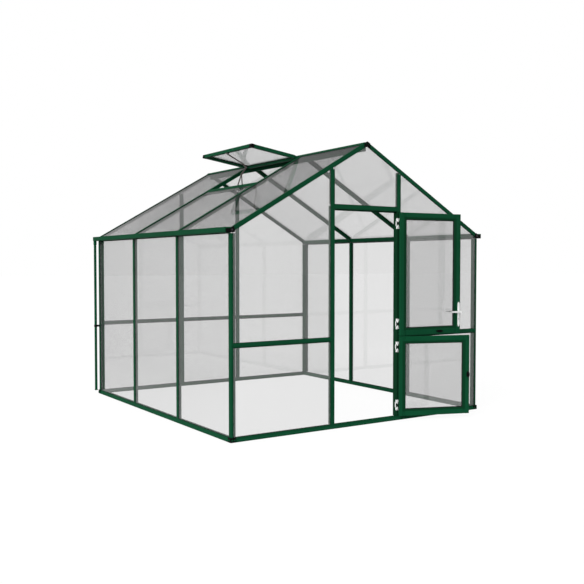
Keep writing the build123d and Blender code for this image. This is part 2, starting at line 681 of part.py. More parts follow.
def leaf_round(angle, s, z, r, q0, q1):
    """Round bar square to a leaf, from depth q0 to q1."""
    a = math.radians(angle)
    base = Plane(origin=leaf_point(s, q0, z, angle), x_dir=(-math.cos(a), -math.sin(a), 0),
                 z_dir=(math.sin(a), -math.cos(a), 0))
    with BuildSketch(base) as section:
        Circle(r)
    return section.sketch, -(q1 - q0)


def barrel(r, z0, z1):
    """Disc on the door's hinge axis, ready to extrude from z0 to z1."""
    with BuildSketch(Plane.XY.offset(z0)) as section:
        with Locations((AXIS_X, AXIS_Y)):
            Circle(r)
    return section.sketch, z1 - z0


with BuildPart() as upper_frame:
    leaf_frame(UPPER_OPEN, UPPER_Z0, UPPER_Z1, UPPER_STILES, UPPER_RAILS)
    hole, run = leaf_round(UPPER_OPEN, HANDLE_S, LEVER_Z, SPINDLE_R + RUNNING, -2, LEAF_T + 2)
    extrude(hole, amount=run, mode=Mode.SUBTRACT)
save(upper_frame.part, "upper_leaf_frame")
with BuildPart() as upper_pane:
    leaf_pane(UPPER_OPEN, UPPER_Z0, UPPER_Z1, UPPER_STILES, UPPER_RAILS)
save(upper_pane.part, "upper_leaf_pane")
with BuildPart() as lower_frame:
    leaf_frame(LOWER_OPEN, LOWER_Z0, LOWER_Z1, LOWER_STILES, LOWER_RAILS)
save(lower_frame.part, "lower_leaf_frame")
with BuildPart() as lower_pane:
    leaf_pane(LOWER_OPEN, LOWER_Z0, LOWER_Z1, LOWER_STILES, LOWER_RAILS)
save(lower_pane.part, "lower_leaf_pane")

# Handle plates on both faces of the upper leaf, and the levers on one spindle
def handle_face(q, z):
    """Plane on the upper leaf at the handle, at depth q and height z."""
    a = math.radians(UPPER_OPEN)
    return Plane(origin=leaf_point(HANDLE_S, q, z, UPPER_OPEN),
                 x_dir=(-math.cos(a), -math.sin(a), 0), z_dir=(math.sin(a), -math.cos(a), 0))


def handle_plate(q0, q1):
    """Long plate with rounded, pointed ends."""
    tall = (HANDLE_Z1 - HANDLE_Z0) / 2
    wide = HANDLE_W / 2
    with BuildSketch(handle_face(q0, (HANDLE_Z0 + HANDLE_Z1) / 2)) as section:
        with BuildLine():
            Polyline((-wide, tall - 20), (-5, tall), (5, tall), (wide, tall - 20),
                     (wide, 20 - tall), (5, -tall), (-5, -tall), (-wide, 20 - tall), close=True)
        make_face()
        fillet(section.vertices(), radius=4)
    extrude(section.sketch, amount=q0 - q1)


def grip(q0, q1):
    """Tapered lever from the spindle towards the hinge side, from depth q0 to q1."""
    with BuildSketch(handle_face(q0, LEVER_Z)) as section:
        Circle(9)
        with Locations((-LEVER_LEN, 0)):
            Circle(7)
        make_hull()
    extrude(section.sketch, amount=q0 - q1)


LEVER_END = LEVER_OUT + LEVER_T
with BuildPart() as plates:
    handle_plate(LEAF_T, LEAF_T + PLATE_T)
    handle_plate(-PLATE_T, 0)
    hole, run = leaf_round(UPPER_OPEN, HANDLE_S, LEVER_Z, SPINDLE_R + RUNNING, -6, LEAF_T + 6)
    extrude(hole, amount=run, mode=Mode.SUBTRACT)
save(plates.part, "handle_plates")
with BuildPart() as lever:
    disc, run = leaf_round(UPPER_OPEN, HANDLE_S, LEVER_Z, SPINDLE_R, -LEVER_END,
                           LEAF_T + LEVER_END)
    extrude(disc, amount=run)
    disc, run = leaf_round(UPPER_OPEN, HANDLE_S, LEVER_Z, 10, LEAF_T + PLATE_T + 1,
                           LEAF_T + PLATE_T + 8)
    extrude(disc, amount=run)
    disc, run = leaf_round(UPPER_OPEN, HANDLE_S, LEVER_Z, 10, -PLATE_T - 8, -PLATE_T - 1)
    extrude(disc, amount=run)
    grip(LEAF_T + LEVER_OUT, LEAF_T + LEVER_END)
    grip(-LEVER_END, -LEVER_OUT)
save(lever.part, "handle_lever")

# Hinge brackets on the door post: two pads, a strap set back in the reveal, knuckles and pin
with BuildPart() as brackets:
    for zc in HINGE_UPPER_Z + HINGE_LOWER_Z:
        for side in (-1, 1):
            lo = min(side * HINGE_GAP / 2, side * HINGE_H / 2)
            hi = max(side * HINGE_GAP / 2, side * HINGE_H / 2)
            block(DOOR_HALF - 3, DOOR_HALF + HINGE_PAD, -3, 0, zc + lo, zc + hi)
            block(DOOR_HALF - 3, DOOR_HALF, -3, 14, zc + lo, zc + hi)
            lo = min(side * 14.5, side * 34)
            hi = max(side * 14.5, side * 34)
            block(AXIS_X, AXIS_X + 12, AXIS_Y, -3, zc + lo, zc + hi)
            disc, run = barrel(KNUCKLE_R, zc + lo, zc + hi)
            extrude(disc, amount=run)
        block(DOOR_HALF - 3, DOOR_HALF, 10, 22, zc - HINGE_GAP / 2, zc + HINGE_GAP / 2)
        disc, run = barrel(PIN_R, zc - 30, zc + 30)
        extrude(disc, amount=run)
save(brackets.part, "hinge_brackets")

# Hinge plates on the leaves' outer faces, each with the middle knuckle


def leaf_hinges(angle, centres):
    for zc in centres:
        leaf_box(angle, 3, 38, -3, 0, zc - 34, zc + 34)
        leaf_box(angle, LEAF_HALF - AXIS_X, 8, -11, -3, zc - 14, zc + 14)
        disc, run = barrel(KNUCKLE_R, zc - 14, zc + 14)
        extrude(disc, amount=run)
        hole, run = barrel(PIN_R + RUNNING, zc - 15, zc + 15)
        extrude(hole, amount=run, mode=Mode.SUBTRACT)


with BuildPart() as upper_plates:
    leaf_hinges(UPPER_OPEN, HINGE_UPPER_Z)
save(upper_plates.part, "upper_hinge_plates")
with BuildPart() as lower_plates:
    leaf_hinges(LOWER_OPEN, HINGE_LOWER_Z)
save(lower_plates.part, "lower_hinge_plates")

# Black turn buttons
with BuildPart() as upper_button:
    leaf_oval(UPPER_OPEN, BUTTON_S, UPPER_Z0 + 31, 37, 12, LEAF_T, LEAF_T + 14)
save(upper_button.part, "upper_turn_button")
with BuildPart() as lower_button:
    leaf_oval(LOWER_OPEN, LEAF_W - 16, (LOWER_Z0 + LOWER_Z1) / 2, 15, 30, LEAF_T, LEAF_T + 14)
save(lower_button.part, "lower_turn_button")
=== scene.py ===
"""Looks of the walk-in greenhouse: coated frame, clear panes, black fittings, bright hinges."""
import json
import math

import bmesh
import bpy
from mathutils import Matrix, Vector


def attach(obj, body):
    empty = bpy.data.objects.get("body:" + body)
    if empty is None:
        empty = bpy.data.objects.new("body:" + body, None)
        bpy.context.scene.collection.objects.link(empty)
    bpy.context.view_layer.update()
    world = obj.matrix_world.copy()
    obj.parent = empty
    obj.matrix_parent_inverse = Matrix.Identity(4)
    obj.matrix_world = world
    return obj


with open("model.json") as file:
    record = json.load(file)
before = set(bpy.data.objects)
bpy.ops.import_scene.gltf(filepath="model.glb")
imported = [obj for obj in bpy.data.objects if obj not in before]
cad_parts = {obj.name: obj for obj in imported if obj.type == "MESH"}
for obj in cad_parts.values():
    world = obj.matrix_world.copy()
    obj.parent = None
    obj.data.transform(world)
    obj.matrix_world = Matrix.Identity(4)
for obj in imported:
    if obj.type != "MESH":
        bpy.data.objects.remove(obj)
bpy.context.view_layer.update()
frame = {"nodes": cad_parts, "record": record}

# Finishes, as linear colours
GREEN = (0.0045, 0.0600, 0.0250, 1.0)
GREEN_DEEP = (0.0030, 0.0500, 0.0200, 1.0)
# Darker green on the leaves' glazing beads: painted shade of their recess
GREEN_BEAD_SHADE = (0.0028, 0.0360, 0.0140, 1.0)
# Deep green of the thin sheet on the hinge post: painted shade
GREEN_POST_SHADE = (0.0034, 0.0310, 0.0125, 1.0)
BLACK = (0.0022, 0.0022, 0.0022, 1.0)
RUBBER = (0.012, 0.013, 0.013, 1.0)
ZINC = (0.88, 0.89, 0.88, 1.0)
DULL_STEEL = (0.16, 0.14, 0.13, 1.0)
DARK_STEEL = (0.010, 0.010, 0.010, 1.0)
GREY_PLUG = (0.030, 0.030, 0.031, 1.0)

# Light from all round, for everything but mirrors and the view itself
LIGHT_LEVEL = 0.75

# What mirrors see of the ceiling: degrees above the horizon and brightness
CEILING = ((12.0, 0.75), (19.0, 0.30), (30.0, 0.10))

# How much of the ceiling mirrors see, from its left to its middle
CEILING_LEFT = -0.35
CEILING_SHARE = (0.5, 1.0)

# The floor's white to look at, and what mirrors see of it from left to right
FLOOR_WHITE = 0.9
FLOOR_SPAN = (-3.2, -1.5)
FLOOR_MIRRORED = (0.34, 0.56)

# Gloss of the powder coat
COAT_ROUGH = 0.5
COAT_SPECULAR = 0.04

# Glass: what each face of a pane lets through, scatters and mirrors, and its index squared
FACE_TINT = 0.94
FACE_HAZE = 0.03
MIRROR_HEAD_ON = 0.08
INDEX_SQUARED = 2.25


class Tree:
    """Short calls for building one material's nodes."""

    def __init__(self, name):
        self.mat = bpy.data.materials.new(name)
        self.mat.use_nodes = True
        self.tree = self.mat.node_tree
        self.tree.nodes.clear()
        self.out = self.node("ShaderNodeOutputMaterial")

    def node(self, kind, **values):
        made = self.tree.nodes.new(kind)
        for key, value in values.items():
            setattr(made, key, value)
        return made

    def link(self, source, target):
        self.tree.links.new(source, target)

    def math(self, operation, a, b=None):
        made = self.node("ShaderNodeMath", operation=operation)
        for socket, value in zip(made.inputs, (a, b)):
            if value is None:
                continue
            if isinstance(value, (int, float)):
                socket.default_value = value
            else:
                self.link(value, socket)
        return made.outputs[0]

    def noise(self, scale, detail=3.0, stretch=(1.0, 1.0, 1.0)):
        """Noise in the object's own metres, stretched along its axes."""
        where = self.node("ShaderNodeTexCoord")
        sizes = self.node("ShaderNodeMapping")
        sizes.inputs["Scale"].default_value = stretch
        self.link(where.outputs["Object"], sizes.inputs["Vector"])
        made = self.node("ShaderNodeTexNoise")
        made.inputs["Scale"].default_value = scale
        made.inputs["Detail"].default_value = detail
        self.link(sizes.outputs["Vector"], made.inputs["Vector"])
        return made.outputs["Fac"]

    def ramp(self, fac, stops):
        made = self.node("ShaderNodeValToRGB")
        while len(made.color_ramp.elements) < len(stops):
            made.color_ramp.elements.new(0.5)
        for element, (place, colour) in zip(made.color_ramp.elements, stops):
            element.position = place
            element.color = colour if isinstance(colour, tuple) else (colour, colour, colour, 1.0)
        self.link(fac, made.inputs["Fac"])
        return made.outputs["Color"]

    def bump(self, height, strength, distance):
        made = self.node("ShaderNodeBump")
        made.inputs["Strength"].default_value = strength
        made.inputs["Distance"].default_value = distance
        self.link(height, made.inputs["Height"])
        return made.outputs["Normal"]


def coated_metal(name, colours):
    """Powder coat: slow colour drift, fine orange peel, uneven gloss."""
    t = Tree(name)
    paint = t.node("ShaderNodeBsdfPrincipled")
    paint.inputs["Specular IOR Level"].default_value = COAT_SPECULAR
    t.link(t.ramp(t.noise(2.6, 4.0), [(0.3, colours[0]), (0.7, colours[1])]),
           paint.inputs["Base Color"])
    t.link(t.ramp(t.noise(38.0, 2.0), [(0.25, COAT_ROUGH - 0.06), (0.75, COAT_ROUGH + 0.08)]),
           paint.inputs["Roughness"])
    t.link(t.bump(t.noise(900.0, 2.0), 0.25, 0.0003), paint.inputs["Normal"])
    t.link(paint.outputs[0], t.out.inputs["Surface"])
    return t.mat


def moulded_plastic(name, colour, rough):
    """Matt moulded plastic with a fine grain."""
    t = Tree(name)
    body = t.node("ShaderNodeBsdfPrincipled")
    body.inputs["Specular IOR Level"].default_value = 0.06
    lighter = tuple(min(1.0, c * 1.8) for c in colour[:3]) + (1.0,)
    t.link(t.ramp(t.noise(55.0, 3.0), [(0.35, colour), (0.8, lighter)]),
           body.inputs["Base Color"])
    t.link(t.ramp(t.noise(120.0, 2.0), [(0.3, rough - 0.08), (0.7, rough + 0.08)]),
           body.inputs["Roughness"])
    t.link(t.bump(t.noise(1500.0, 2.0), 0.35, 0.0002), body.inputs["Normal"])
    t.link(body.outputs[0], t.out.inputs["Surface"])
    return t.mat


def brushed_metal(name, colour, rough, stretch, metallic):
    """Metal with fine drawn lines and a faint cloudiness."""
    t = Tree(name)
    body = t.node("ShaderNodeBsdfPrincipled")
    body.inputs["Metallic"].default_value = metallic
    darker = tuple(c * 0.86 for c in colour[:3]) + (1.0,)
    t.link(t.ramp(t.noise(30.0, 3.0), [(0.3, darker), (0.7, colour)]), body.inputs["Base Color"])
    lines = t.noise(260.0, 2.0, stretch)
    t.link(t.ramp(lines, [(0.3, rough - 0.07), (0.7, rough + 0.1)]), body.inputs["Roughness"])
    t.link(t.bump(lines, 0.2, 0.0002), body.inputs["Normal"])
    t.link(body.outputs[0], t.out.inputs["Surface"])
    return t.mat


def clear_glass(name, tint, haze):
    """Pane glass. Each face mirrors more, and lets less through, the flatter it is seen."""
    t = Tree(name)
    facing = t.node("ShaderNodeLayerWeight")
    facing.inputs["Blend"].default_value = 0.5
    flat = facing.outputs["Facing"]
    cosine = t.math("SUBTRACT", 1.0, flat)
    bent = t.math("SUBTRACT", 1.0, t.math("POWER", cosine, 2.0))
    inside = t.math("SUBTRACT", 1.0, t.math("DIVIDE", bent, INDEX_SQUARED))
    passed = t.math("POWER", tint, t.math("POWER", inside, -0.5))
    mirrored = t.math("ADD", t.math("MULTIPLY", t.math("POWER", flat, 5.0), 1 - MIRROR_HEAD_ON),
                      MIRROR_HEAD_ON)
    clear = t.node("ShaderNodeBsdfTransparent")
    level = t.node("ShaderNodeCombineColor")
    for channel in ("Red", "Green", "Blue"):
        t.link(passed, level.inputs[channel])
    t.link(level.outputs[0], clear.inputs["Color"])
    film = t.node("ShaderNodeBsdfDiffuse")
    dust = [(0.3, (0.76, 0.77, 0.77, 1.0)), (0.7, (0.86, 0.86, 0.86, 1.0))]
    t.link(t.ramp(t.noise(1.3, 4.0), dust), film.inputs["Color"])
    dusty = t.node("ShaderNodeMixShader")
    t.link(t.ramp(t.noise(3.0, 5.0), [(0.3, haze * 0.9), (0.7, haze * 1.1)]), dusty.inputs[0])
    t.link(clear.outputs[0], dusty.inputs[1])
    t.link(film.outputs[0], dusty.inputs[2])
    gloss = t.node("ShaderNodeBsdfGlossy")
    gloss.inputs["Roughness"].default_value = 0.02
    t.link(t.bump(t.noise(4.0, 2.0), 0.04, 0.002), gloss.inputs["Normal"])
    pane = t.node("ShaderNodeMixShader")
    t.link(mirrored, pane.inputs[0])
    t.link(dusty.outputs[0], pane.inputs[1])
    t.link(gloss.outputs[0], pane.inputs[2])
    t.link(pane.outputs[0], t.out.inputs["Surface"])
    return t.mat


green = coated_metal("green_coat", (GREEN_DEEP, GREEN))
black = moulded_plastic("black_plastic", BLACK, 0.55)
rubber = moulded_plastic("black_rubber", RUBBER, 0.7)
plug_grey = moulded_plastic("grey_plug", GREY_PLUG, 0.5)
zinc = brushed_metal("bright_steel", ZINC, 0.38, (1.0, 1.0, 0.06), 0.15)
opener_steel = brushed_metal("opener_steel", DULL_STEEL, 0.45, (1.0, 0.06, 1.0), 0.6)
dark_steel = brushed_metal("dark_steel", DARK_STEEL, 0.5, (1.0, 1.0, 0.06), 0.2)
# Darker copy of the coat for the leaf beads: painted shade
bead_shade_paint = coated_metal("green_coat_bead_painted_shade", (GREEN_BEAD_SHADE, GREEN_BEAD_SHADE))
# Darker copy of the coat for the hinge post: painted shade
post_shade_paint = coated_metal("green_coat_post_painted_shade", (GREEN_POST_SHADE, GREEN_POST_SHADE))
glass = clear_glass("clear_glass", FACE_TINT, FACE_HAZE)

FINISH = {"green_coat": green, "black_plastic": black, "bright_steel": zinc,
          "opener_steel": opener_steel, "clear_glass": glass}
for part in frame["record"]["subparts"]:
    node = frame["nodes"][part["node"]]
    node.data.materials.clear()
    finish = dark_steel if "hinge_plates" in part["node"] else FINISH[part["material_slot"]]
    node.data.materials.append(finish)


# Sizes shared with the model, in metres
HALF = 1.475
DEPTH = 3.205
PITCH_TAN = 0.574
COSP = math.cos(math.atan(PITCH_TAN))
APEX_Z = 2.688
SILL_H = 0.039
BEAM_Z = 1.795
RAIL_Z = 0.832
DOOR_X = 0.378
POST_X = 0.420
HEADER_Z = 2.082
BAYS = (DEPTH / 3, 2 * DEPTH / 3)
HINGES = (1.925, 0.944, 0.719, 0.147)
AXIS = Vector((DOOR_X, -0.008, 0.0))
UPPER_OPEN = math.radians(174.3)
LOWER_OPEN = math.radians(159.7)
VENT_TILT = math.radians(8.4)
LEAF_W = 0.736
LEAF_T = 0.028
STILE_BEAD = 0.028
RAIL_BEAD = 0.020
PLATE_S = 0.714

# Half a cross rail's height, half a bar's width, and the edges of the frame over the panes
RAIL_HALF = 0.020
BAR_HALF = 0.021
CORNER_FRONT = 0.022
CORNER_SIDE = 0.042
RAFTER = 0.038

# Panes lie this far behind the frame's outer faces, and their seals have this section
PANE_SET = 0.006
SEAL_W = 0.004
SEAL_H = 0.003

X = Vector((1.0, 0.0, 0.0))
Y = Vector((0.0, 1.0, 0.0))
Z = Vector((0.0, 0.0, 1.0))


def roof_z(x, below=0.0):
    return APEX_Z - PITCH_TAN * abs(x) - below / COSP


def leaf_turn(angle):
    """Places leaf coordinates: X along from the hinge, Y inwards, Z up."""
    along = Vector((-math.cos(angle), -math.sin(angle), 0.0))
    inwards = Vector((-math.sin(angle), math.cos(angle), 0.0))
    origin = AXIS + along * 0.010 + inwards * 0.008
    return Matrix((along.to_4d(), inwards.to_4d(), Z.to_4d(), (0, 0, 0, 1))).transposed(), origin


class Shape:
    """Mesh under construction, in a local frame that place() carries into the row's frame."""

    def __init__(self, turn=None, origin=None):
        self.bm = bmesh.new()
        self.turn = turn.to_3x3() if turn else Matrix.Identity(3)
        self.origin = origin if origin else Vector((0.0, 0.0, 0.0))

    def place(self, point):
        return self.origin + self.turn @ Vector(point)

    def add(self, points, faces):
        verts = [self.bm.verts.new(self.place(p)) for p in points]
        for face in faces:
            self.bm.faces.new([verts[i] for i in face])

    def lathe(self, at, axis, profile, sides=16):
        """Round piece on an axis, from pairs of radius and height."""
        axis = Vector(axis).normalized()
        across = axis.orthogonal().normalized()
        other = axis.cross(across)
        points = []
        for radius, height in profile:
            for i in range(sides):
                a = 2 * math.pi * i / sides
                points.append(Vector(at) + axis * height + across * (radius * math.cos(a))
                              + other * (radius * math.sin(a)))
        faces = []
        for ring in range(len(profile) - 1):
            for i in range(sides):
                j = (i + 1) % sides
                low = ring * sides
                faces.append((low + i, low + j, low + sides + j, low + sides + i))
        faces.append(tuple(range(sides))[::-1])
        top = (len(profile) - 1) * sides
        faces.append(tuple(top + i for i in range(sides)))
        self.add(points, faces)

    def screw(self, at, axis, r=0.0045):
        """Pan head with a round recess."""
        self.lathe(at, axis, [(r, 0), (r, 0.3 * r), (0.82 * r, 0.62 * r), (0.5 * r, 0.74 * r),
                              (0.44 * r, 0.3 * r), (0.05 * r, 0.3 * r)])

    def bolt(self, at, axis, r=0.006):
        """Hexagon head on a washer."""
        self.lathe(at, axis, [(1.5 * r, 0), (1.5 * r, 0.18 * r), (1.3 * r, 0.26 * r),
                              (0.2 * r, 0.26 * r)])
        self.lathe(at, axis, [(r, 0.2 * r), (r, 0.85 * r), (0.8 * r, r), (0.1 * r, r)], sides=6)

    def loop(self, corners, normal, width, height):
        """Bead that follows a closed outline on its inner side, with mitred corners."""
        normal = Vector(normal).normalized()
        corners = [Vector(c) for c in corners]
        count = len(corners)
        middle = sum(corners, Vector((0, 0, 0))) / count
        rows = []
        for i, here in enumerate(corners):
            before = (here - corners[i - 1]).normalized()
            after = (corners[(i + 1) % count] - here).normalized()
            side = before.cross(normal)
            if side.dot(middle - here) < 0:
                side = -side
            side2 = after.cross(normal)
            if side2.dot(middle - here) < 0:
                side2 = -side2
            inward = (side + side2) / (1 + side.dot(side2))
            rows.append([here, here + normal * height * 0.75,
                         here + inward * width * 0.3 + normal * height,
                         here + inward * width * 0.75 + normal * height * 0.8,
                         here + inward * width])
        points = [p for row in rows for p in row]
        faces = []
        for i in range(count):
            j = (i + 1) % count
            for k in range(5):
                m = (k + 1) % 5
                faces.append((i * 5 + k, j * 5 + k, j * 5 + m, i * 5 + m))
        self.add(points, faces)

    def slab(self, at, u, v, w, chamfer):
        """Block with chamfered front edges: from at, along u and v, raised by w."""
        at, u, v, w = Vector(at), Vector(u), Vector(v), Vector(w)
        cu = u.normalized() * chamfer
        cv = v.normalized() * chamfer
        cw = w.normalized() * chamfer
        base = [at, at + u, at + u + v, at + v]
        mid = [p + w - cw for p in base]
        top = [at + cu + cv, at + u - cu + cv, at + u + v - cu - cv, at + v + cu - cv]
        points = base + mid + [p + w for p in top]
        faces = [(3, 2, 1, 0), (8, 9, 10, 11)]
        for ring in (0, 4):
            for i in range(4):
                j = (i + 1) % 4
                faces.append((ring + i, ring + j, ring + 4 + j, ring + 4 + i))
        self.add(points, faces)

    def tube(self, rings):
        """Closed ring whose section runs through the given outlines of equal length."""
        count = len(rings[0])
        faces = []
        for k in range(len(rings)):
            m = (k + 1) % len(rings)
            for i in range(count):
                j = (i + 1) % count
                faces.append((k * count + i, k * count + j, m * count + j, m * count + i))
        self.add([p for ring in rings for p in ring], faces)

    def prism(self, outline, along):
        """Solid from a flat outline pushed along one direction."""
        count = len(outline)
        points = [Vector(p) for p in outline]
        points += [p + Vector(along) for p in points]
        faces = [tuple(range(count))[::-1], tuple(range(count, 2 * count))]
        for i in range(count):
            j = (i + 1) % count
            faces.append((i, j, count + j, count + i))
        self.add(points, faces)

    def finish(self, name, body, slot, finish):
        bmesh.ops.recalc_face_normals(self.bm, faces=self.bm.faces[:])
        mesh = bpy.data.meshes.new(name)
        self.bm.to_mesh(mesh)
        self.bm.free()
        piece = bpy.data.objects.new(name, mesh)
        bpy.context.scene.collection.objects.link(piece)
        mesh.materials.append(finish)
        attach(piece, body)


def gable_outlines(y):
    """Visible edges of a gable's panes at depth y."""
    low = RAIL_Z - RAIL_HALF
    high = RAIL_Z + RAIL_HALF
    outer = HALF - CORNER_FRONT
    shapes = []
    for s in (-1, 1):
        shapes.append([(s * outer, y, SILL_H), (s * POST_X, y, SILL_H), (s * POST_X, y, low),
                       (s * outer, y, low)])
        shapes.append([(s * outer, y, high), (s * POST_X, y, high),
                       (s * POST_X, y, roof_z(POST_X, RAFTER)),
                       (s * outer, y, roof_z(outer, RAFTER))])
    return shapes


def bay_edges(end):
    """Both sides of each bay's pane along the greenhouse, with frame of width end at its ends."""
    return [(end, BAYS[0] - BAR_HALF), (BAYS[0] + BAR_HALF, BAYS[1] - BAR_HALF),
            (BAYS[1] + BAR_HALF, DEPTH - end)]


def wall_seals():
    """Glazing seals along the outside of every fixed pane."""
    seals = Shape()
    back = DEPTH - PANE_SET
    for y, out in ((PANE_SET, -Y), (back, Y)):
        for shape in gable_outlines(y):
            seals.loop(shape, out, SEAL_W, SEAL_H)
    top = roof_z(DOOR_X, RAFTER)
    for y, out, z in ((PANE_SET, -Y, HEADER_Z), (back, Y, RAIL_Z + RAIL_HALF)):
        seals.loop([(-DOOR_X, y, z), (DOOR_X, y, z), (DOOR_X, y, top), (0, y, roof_z(0, RAFTER)),
                    (-DOOR_X, y, top)], out, SEAL_W, SEAL_H)
    low = RAIL_Z - RAIL_HALF
    seals.loop([(-DOOR_X, back, SILL_H), (DOOR_X, back, SILL_H), (DOOR_X, back, low),
                (-DOOR_X, back, low)], Y, SEAL_W, SEAL_H)
    for s in (-1, 1):
        x = s * (HALF - PANE_SET)
        for y0, y1 in bay_edges(CORNER_SIDE):
            seals.loop([(x, y0, SILL_H), (x, y1, SILL_H), (x, y1, BEAM_Z), (x, y0, BEAM_Z)],
                       s * X, SEAL_W, SEAL_H)
    seals.finish("glazing_seals", "greenhouse", "black_plastic", rubber)


def roof_seals():
    """Seals along the outside of the roof panes."""
    seals = Shape()
    for s in (-1, 1):
        up = Vector((s * PITCH_TAN * COSP, 0, COSP))
        for i, (y0, y1) in enumerate(bay_edges(CORNER_FRONT)):
            xa = s * (HALF - 0.014)
            xb = -0.676 if (s < 0 and i == 1) else s * 0.045
            za = roof_z(xa, PANE_SET)
            zb = roof_z(xb, PANE_SET)
            seals.loop([(xa, y0, za), (xa, y1, za), (xb, y1, zb), (xb, y0, zb)], up,
                       SEAL_W, SEAL_H)
    seals.finish("roof_seals", "greenhouse", "black_plastic", rubber)


def frame_fixings():
    """Screws and bolts of the frame."""
    steel = Shape()
    for s in (-1, 1):
        for y, out in ((0.0, -Y), (DEPTH, Y)):
            for z in (0.075, RAIL_Z, BEAM_Z - 0.03):
                steel.screw((s * (HALF - 0.011), y, z), out)
            for z in (0.060, RAIL_Z - 0.010, RAIL_Z + 0.010, HEADER_Z - 0.021,
                      roof_z(POST_X, 0.055)):
                steel.screw((s * (POST_X - BAR_HALF), y, z), out)
            for x in (1.38, 0.93, 0.47, 0.06):
                steel.screw((s * x, y, roof_z(x, 0.019)), out, 0.004)
        for y in (0.020,) + BAYS + (DEPTH - 0.020,):
            for z in (0.075, BEAM_Z - 0.03):
                steel.screw((s * HALF, y, z), s * X)
        up = Vector((s * PITCH_TAN * COSP, 0, COSP))
        for y in BAYS:
            for x in (1.41, 0.07):
                steel.screw((s * x, y, roof_z(x)), up)
        for y in (0.012, 0.034):
            steel.bolt((s * (HALF + 0.010), y, 0.018), s * X)
            steel.bolt((s * (HALF + 0.010), DEPTH - y, 0.018), s * X)
        for y, out in ((-0.010, -Y), (DEPTH + 0.010, Y)):
            for x in (HALF - 0.005, HALF - 0.030):
                steel.bolt((s * x, y, 0.018), out)
    for x in (-0.018, 0.018):
        steel.screw((x, -0.005, roof_z(0.018, 0.012)), -Y, 0.005)
        steel.screw((x, DEPTH + 0.005, roof_z(0.018, 0.012)), Y, 0.005)
    for x in (-1.2, -0.7, -0.2, 0.2, 0.7, 1.2):
        steel.bolt((x, -0.004, 0.014), -Y, 0.005)
        steel.bolt((x, DEPTH + 0.004, 0.014), Y, 0.005)
    steel.finish("frame_fixings", "greenhouse", "green_coat", green)


def hinge_trim():
    """Screws in the hinge pads, black discs between them as painted shade, and a thin deep-green
    sheet over the post as painted shade.
    """
    steel = Shape()
    hinge_shade_disc = Shape()
    for z in HINGES:
        for side in (-1, 1):
            steel.screw((DOOR_X + 0.019, -0.003, z + side * 0.0375), -Y, 0.0045)
        # Black discs on the post face behind each hinge: painted shade seen through the hinge
        turns = [2 * math.pi * i / 28 for i in range(28)]
        for grow, deep in ((1.0, 0.0022), (0.6, 0.0034)):
            hinge_shade_disc.prism([(DOOR_X + 0.0185 + 0.0125 * grow * math.cos(a), -0.0008,
                         z + 0.0165 * grow * math.sin(a)) for a in turns], (0, -deep, 0))
    steel.finish("hinge_screws", "greenhouse", "bright_steel", zinc)
    hinge_shade_disc.finish("hinge_painted_shade_discs", "greenhouse", "black_plastic", black)
    # Thin deep-green sheet over the hinge post's face and reveal: painted shade, not a separate
    # part
    post_shade_sheet = Shape()
    face = [(POST_X, 0.0), (POST_X, -0.0004), (POST_X - 0.0006, -0.0009), (DOOR_X, -0.0009),
            (DOOR_X - 0.0009, 0.0), (DOOR_X - 0.0009, 0.0550), (DOOR_X, 0.0556), (DOOR_X, 0.0)]
    post_shade_sheet.prism([(x, y, SILL_H + 0.001) for x, y in face], (0, 0, 2.0395 - SILL_H - 0.001))
    post_shade_sheet.finish("hinge_post_painted_shade", "greenhouse", "green_coat", post_shade_paint)


def leaf_trim(name, body, angle, z0, z1, stiles, rails, hinges):
    """Wide pane seals on both faces, partly painted shade; a darker green sheet over the glazing
    beads as painted shade; corner screws and hinge-plate screws.
    """
    turn, origin = leaf_turn(angle)
    seals = Shape(turn, origin)
    s0, s1 = stiles[0], LEAF_W - stiles[1]
    low, high = z0 + rails[0], z1 - rails[1]
    # Real pane seals, made 8 mm wide so that their black also paints the shade along the pane
    # edges
    for q, out in ((0.016, Y), (0.012, -Y)):
        seals.loop([(s0, q, low), (s1, q, low), (s1, q, high), (s0, q, high)], out, 0.008, 0.005)
    seals.finish(name + "_seals", body, "black_plastic", rubber)
    steel = Shape(turn, origin)
    for z in hinges:
        for side in (-1, 1):
            steel.screw((0.026, -0.003, z + side * 0.024), -Y, 0.0045)
    steel.finish(name + "_hinge_screws", body, "bright_steel", dark_steel)
    coated = Shape(turn, origin)
    for s in (0.016, 0.720):
        for z in (z0 + 0.022, z1 - 0.022):
            coated.screw((s, LEAF_T, z), Y, 0.0042)
            coated.screw((s, 0.0, z), -Y, 0.0042)
    coated.finish(name + "_corner_screws", body, "green_coat", green)
    # Thin darker-green sheet over the sloping glazing beads: painted shade of the recess around
    # the panes
    bead_shade_sheet = Shape(turn, origin)
    rings = []
    for over, q in ((0.0, 0.0215), (0.0, 0.0228), (1.0, 0.0252), (1.0, 0.0229)):
        wide = over * (STILE_BEAD - 0.0004)
        tall = over * (RAIL_BEAD - 0.0004)
        rings.append([(s0 - wide, q, low - tall), (s1 + wide, q, low - tall),
                      (s1 + wide, q, high + tall), (s0 - wide, q, high + tall)])
    bead_shade_sheet.tube(rings)
    bead_shade_sheet.finish(name + "_bead_painted_shade", body, "green_coat", bead_shade_paint)


